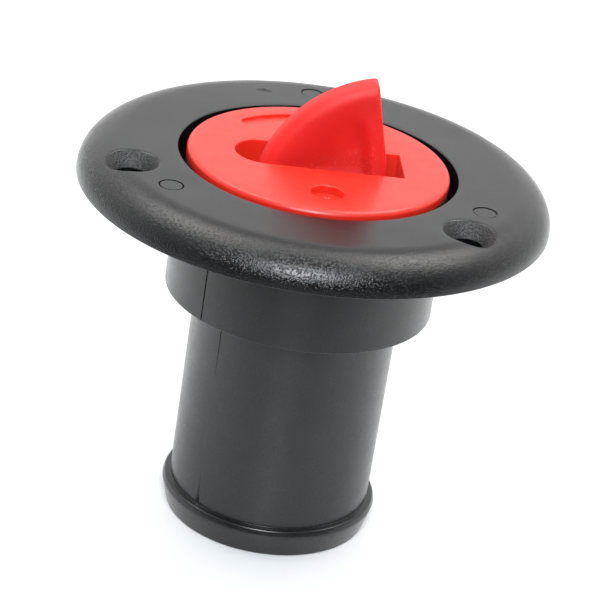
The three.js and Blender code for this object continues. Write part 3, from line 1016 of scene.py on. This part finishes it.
def black_painted_shade():
    """Painted shade: a near-black, almost unreflective skin for the wall and seat under the cap's rim, the
    screw holes' bores and the groove round the first ejector mark.
    """
    dark, light = (0.002, 0.002, 0.0022), (0.003, 0.003, 0.0033)
    nodes = moulded("black_painted_shade", dark, light, roughness=0.8, grain_mm=0.3, depth_mm=0.01)
    # Almost no reflection, so these faces stay dark as painted shade.
    nodes.set("Specular IOR Level", 0.03)
    return nodes.material


def red_cap():
    """The cap's semi-gloss red, which light soaks into."""
    dark, light = (0.61, 0.023, 0.012), (0.67, 0.029, 0.016)
    nodes = moulded("red_cap", dark, light, roughness=0.34, grain_mm=0.6, depth_mm=0.004, ior=1.54)
    nodes.scatter(0.9, (1.0, 0.12, 0.06), 2.6)
    return nodes.material


def red_wall():
    """The slot's walls, with the drag marks of the mould's core."""
    dark, light = (0.62, 0.018, 0.007), (0.68, 0.024, 0.009)
    nodes = moulded("red_wall", dark, light, roughness=0.4, grain_mm=0.6, depth_mm=0.004)
    nodes.drive("Normal", nodes.bump(nodes.noise(0.5, 3.0, 0.6, (1, 1, 40)), 0.05))
    nodes.scatter(0.8, (1.0, 0.12, 0.06), 2.0)
    return nodes.material


def red_handle():
    """The fin's red, with patches of paler flecks where thumbs have worn it."""
    dark, light = (0.65, 0.009, 0.007), (0.71, 0.012, 0.009)
    nodes = moulded("red_handle", dark, light, roughness=0.56, grain_mm=0.8, depth_mm=0.006, wave_mm=7.0)
    worn = nodes.add("ShaderNodeMath", operation="MULTIPLY")
    nodes.link(nodes.spread(nodes.noise(0.4, 2.0), 0, 0.7, 0.58, 0.68), worn.inputs[0])
    nodes.link(nodes.spread(nodes.noise(6.0, 1.0), 0, 1, 0.46, 0.64), worn.inputs[1])
    scuffed = nodes.add("ShaderNodeMix", data_type="RGBA")
    scuffed.inputs["B"].default_value = (0.74, 0.09, 0.09, 1)
    nodes.link(nodes.driven_by("Base Color"), scuffed.inputs["A"])
    nodes.link(worn.outputs[0], scuffed.inputs["Factor"])
    nodes.drive("Base Color", scuffed.outputs["Result"])
    nodes.scatter(1.0, (1.0, 0.1, 0.06), 2.8)
    return nodes.material


def rubber():
    dark, light = (0.004, 0.004, 0.004), (0.007, 0.007, 0.007)
    return moulded("seal_rubber", dark, light, roughness=0.75, grain_mm=0.2, depth_mm=0.01).material


def nylon():
    dark, light = (0.70, 0.68, 0.62), (0.78, 0.76, 0.70)
    return moulded("washer_nylon", dark, light, roughness=0.4, grain_mm=0.4, depth_mm=0.006).material


def swivel_black():
    dark, light = (0.02, 0.02, 0.021), (0.03, 0.03, 0.031)
    return moulded("swivel_plastic", dark, light, roughness=0.4, grain_mm=0.3, depth_mm=0.006).material


def stainless():
    """Turned stainless steel with fine tool marks."""
    nodes = Nodes("stainless_turned")
    nodes.set("Metallic", 1.0)
    nodes.drive("Base Color", nodes.blend(nodes.noise(1.5), (0.50, 0.51, 0.52), (0.62, 0.62, 0.63)))
    nodes.drive("Roughness", nodes.spread(nodes.noise(0.8), 0.24, 0.36))
    nodes.drive("Normal", nodes.bump(nodes.noise(0.12, 2.0), 0.004))
    return nodes.material


def floor_material():
    """A white sweep with painted shade that makes it greyer towards the front."""
    nodes = Nodes("studio_floor")
    split = nodes.add("ShaderNodeSeparateXYZ")
    nodes.link(nodes.place, split.inputs[0])
    # Painted shade: the floor's colour goes grey towards the front of the part.
    rearward = nodes.spread(split.outputs["Y"], 0, 1, FLOOR["shade_grey_y"] * MM, FLOOR["white_y"] * MM)
    nodes.drive("Base Color", nodes.blend(rearward, FLOOR["shade_grey"], FLOOR["white"]))
    nodes.set("Roughness", FLOOR["roughness"])
    return nodes.material


def paint(piece, *materials):
    """Gives the piece its materials, in the order of its slots."""
    piece.data.materials.clear()
    for material in materials:
        piece.data.materials.append(material)
    return piece


def pick(piece, chooser):
    """Gives each face the material slot that chooser(centre, normal) names, centre in millimetres."""
    for face in piece.data.polygons:
        face.material_index = chooser(face.center / MM, face.normal)
    return piece


# ---- the pieces on their bodies ----


def put(piece, body, slot, *nodes):
    """The piece rides on a body and stands for CAD nodes, which it hides. The slot argument is not used."""
    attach(piece, body)
    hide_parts(*nodes)
    return piece


def from_screw(centre):
    """Distance of a place from the axis of the nearest screw hole."""
    axes = [screw_axis(k).translation for k in range(3)]
    return min(math.hypot(centre.x - axis.x, centre.y - axis.y) for axis in axes)


def in_groove(centre):
    """Whether a place is in the groove round the first ejector mark, which gets painted shade."""
    mark = round_axis(EJECTOR["angles"][0], EJECTOR["circle"]).translation
    reach = math.hypot(centre.x - mark.x, centre.y - mark.y)
    r = EJECTOR["r"]
    return r - EJECTOR["groove"] - SLACK < reach < r + 0.05 and centre.z < FLANGE_TOP - SLACK


def neck_skin(centre, _normal):
    """0 the flange, 1 the neck, 2 the barb, 3 painted shade on the recess, bores and groove, 4 the
    countersinks.
    """
    r = math.hypot(centre.x, centre.y)
    reach = from_screw(centre)
    # The screw holes' bores and the first ejector mark's groove get painted shade.
    if reach < SCREW["r"] + SLACK or in_groove(centre):
        return 3
    if reach < SCREW["head"] + 0.1 and centre.z > FLANGE_TOP - SCREW["sink"]:
        return 4
    seat_z, lip_z = FLANGE_TOP - RECESS["depth"] - 0.3, FLANGE_TOP - RECESS["lip"]
    # The recess wall and seat under the cap's rim get painted shade.
    if r < RECESS["r"] + SLACK and seat_z < centre.z < lip_z:
        return 3
    if r > COLLAR["r"] + 0.5 and centre.z > DECK_Z + 0.05:
        return 0
    if centre.z < BARB["top"] + SLACK and r > TAIL["low_r"] - 0.4:
        return 2
    return 1


def disc_skin(centre, normal):
    """0 the cap's face, 1 the slot's walls."""
    along, across = centre.x, abs(centre.y)
    in_slot = SLOT["left"] - 0.2 < along < SLOT["right"] + 0.2 and across < SLOT["half"] + 0.2
    in_dimple = math.hypot(centre.x, centre.y + DIMPLE["circle"]) < DIMPLE["r"] + 0.6
    return 1 if centre.z < CAP_TOP - 0.2 and (in_dimple or in_slot and abs(normal.z) < 0.3) else 0


def assemble():
    """Makes every piece and puts it on its body. The cap's pieces are turned into the part's frame."""
    steel, nylon_white = stainless(), nylon()
    red = red_cap()
    # The neck's fourth material is painted shade for the recess, the bores and the groove.
    body = paint(neck(), black_grain(), black_satin(), black_gloss(), black_painted_shade(), black_sink())
    put(pick(body, neck_skin), "housing", "black_plastic", "filler_body")
    disc = paint(cap_disc(), red, red_wall())
    pieces = [
        (pick(disc, disc_skin), "cap", "red_plastic", "cap_disc"),
        (paint(cap_plug(), red), "cap", "red_plastic", "cap_plug"),
        (paint(cap_seal(), rubber()), "cap", "seal_rubber", "cap_seal"),
        (paint(handle(), red_handle()), "handle", "handle_plastic", "handle"),
        (paint(handle_pin(), steel), "cap", "stainless", "handle_pin"),
        (paint(pin_clip(), steel), "cap", "stainless", "pin_clip"),
        (paint(washer("washer_front", -1), nylon_white), "cap", "washer_nylon", "handle_washer_front"),
        (paint(washer("washer_rear", 1), nylon_white), "cap", "washer_nylon", "handle_washer_rear"),
        (paint(lanyard_swivel(), swivel_black()), "swivel", "swivel_plastic", "lanyard_swivel"),
        (paint(lanyard_screw(), steel), "cap", "stainless", "lanyard_screw"),
    ]
    for piece, rider, slot, node in pieces:
        moved(piece, CAP_TURN)
        put(piece, rider, slot, node)


# ---- the studio ----


def add_camera():
    """The photographing camera, rolled about its own axis."""
    data = bpy.data.cameras.new("photo_camera")
    data.lens = CAMERA["lens"]
    data.sensor_width = CAMERA["sensor"]
    data.clip_start, data.clip_end = 0.01, 50
    camera = bpy.data.objects.new("photo_camera", data)
    bpy.context.scene.collection.objects.link(camera)
    at, aim = Vector(CAMERA["at"]) * MM, Vector(CAMERA["aim"]) * MM
    look = (aim - at).to_track_quat("-Z", "Y").to_matrix().to_4x4()
    roll = Matrix.Rotation(math.radians(CAMERA["roll"]), 4, "Z")
    camera.matrix_world = Matrix.Translation(at) @ look @ roll
    bpy.context.scene.camera = camera


def add_softbox(name, azimuth, elevation, size, radiance, colour):
    """A rectangular light that faces the flange."""
    a, e = math.radians(azimuth), math.radians(elevation)
    back = Vector((math.sin(a) * math.cos(e), -math.cos(a) * math.cos(e), math.sin(e)))
    data = bpy.data.lights.new(name, "AREA")
    data.shape = "RECTANGLE"
    data.size, data.size_y = size[0] * MM, size[1] * MM
    data.energy = radiance * math.pi * data.size * data.size_y
    data.color = colour
    light = bpy.data.objects.new(name, data)
    bpy.context.scene.collection.objects.link(light)
    centre = (Vector((0, 0, DECK_Z)) + back * SOFTBOX_DISTANCE) * MM
    light.matrix_world = Matrix.Translation(centre) @ back.to_track_quat("Z", "Y").to_matrix().to_4x4()
    light.visible_camera = False


def add_world():
    """A light tent: bright behind the part, dark in front of it and even overhead."""
    world = bpy.data.worlds.new("tent")
    nodes = Tree(world)
    place = nodes.add("ShaderNodeTexCoord").outputs["Generated"]
    rearward = nodes.add("ShaderNodeVectorMath", operation="DOT_PRODUCT")
    rearward.inputs[1].default_value = TENT["rearward"]
    nodes.link(place, rearward.inputs[0])
    split = nodes.add("ShaderNodeSeparateXYZ")
    nodes.link(place, split.inputs[0])
    reach = TENT["front_end"], TENT["rear_start"]
    sides = nodes.spread(rearward.outputs["Value"], TENT["front"], TENT["rear"], *reach)
    upward = nodes.spread(split.outputs["Z"], 0.0, 1.0, TENT["overhead_start"], TENT["overhead_full"])
    mixed = nodes.add("ShaderNodeMix")
    mixed.inputs["B"].default_value = TENT["overhead"]
    nodes.link(upward, mixed.inputs["Factor"])
    nodes.link(sides, mixed.inputs["A"])
    background = nodes.add("ShaderNodeBackground")
    output = nodes.add("ShaderNodeOutputWorld")
    nodes.link(mixed.outputs["Result"], background.inputs["Strength"])
    nodes.link(background.outputs[0], output.inputs["Surface"])
    bpy.context.scene.world = world


def add_floor():
    half = FLOOR["size"] / 2
    points = [(-half, -half, 0), (half, -half, 0), (half, half, 0), (-half, half, 0)]
    floor = build("studio_floor", points, [[0, 1, 2, 3]])
    floor.location.z = -FLOOR["below"] * MM
    paint(floor, floor_material())


def studio():
    """The photograph's view, light and floor."""
    add_camera()
    add_world()
    add_floor()
    for name, softbox in SOFTBOXES.items():
        add_softbox(name, **softbox)
    bpy.context.scene.view_settings.view_transform = "Standard"


studio()
assemble()
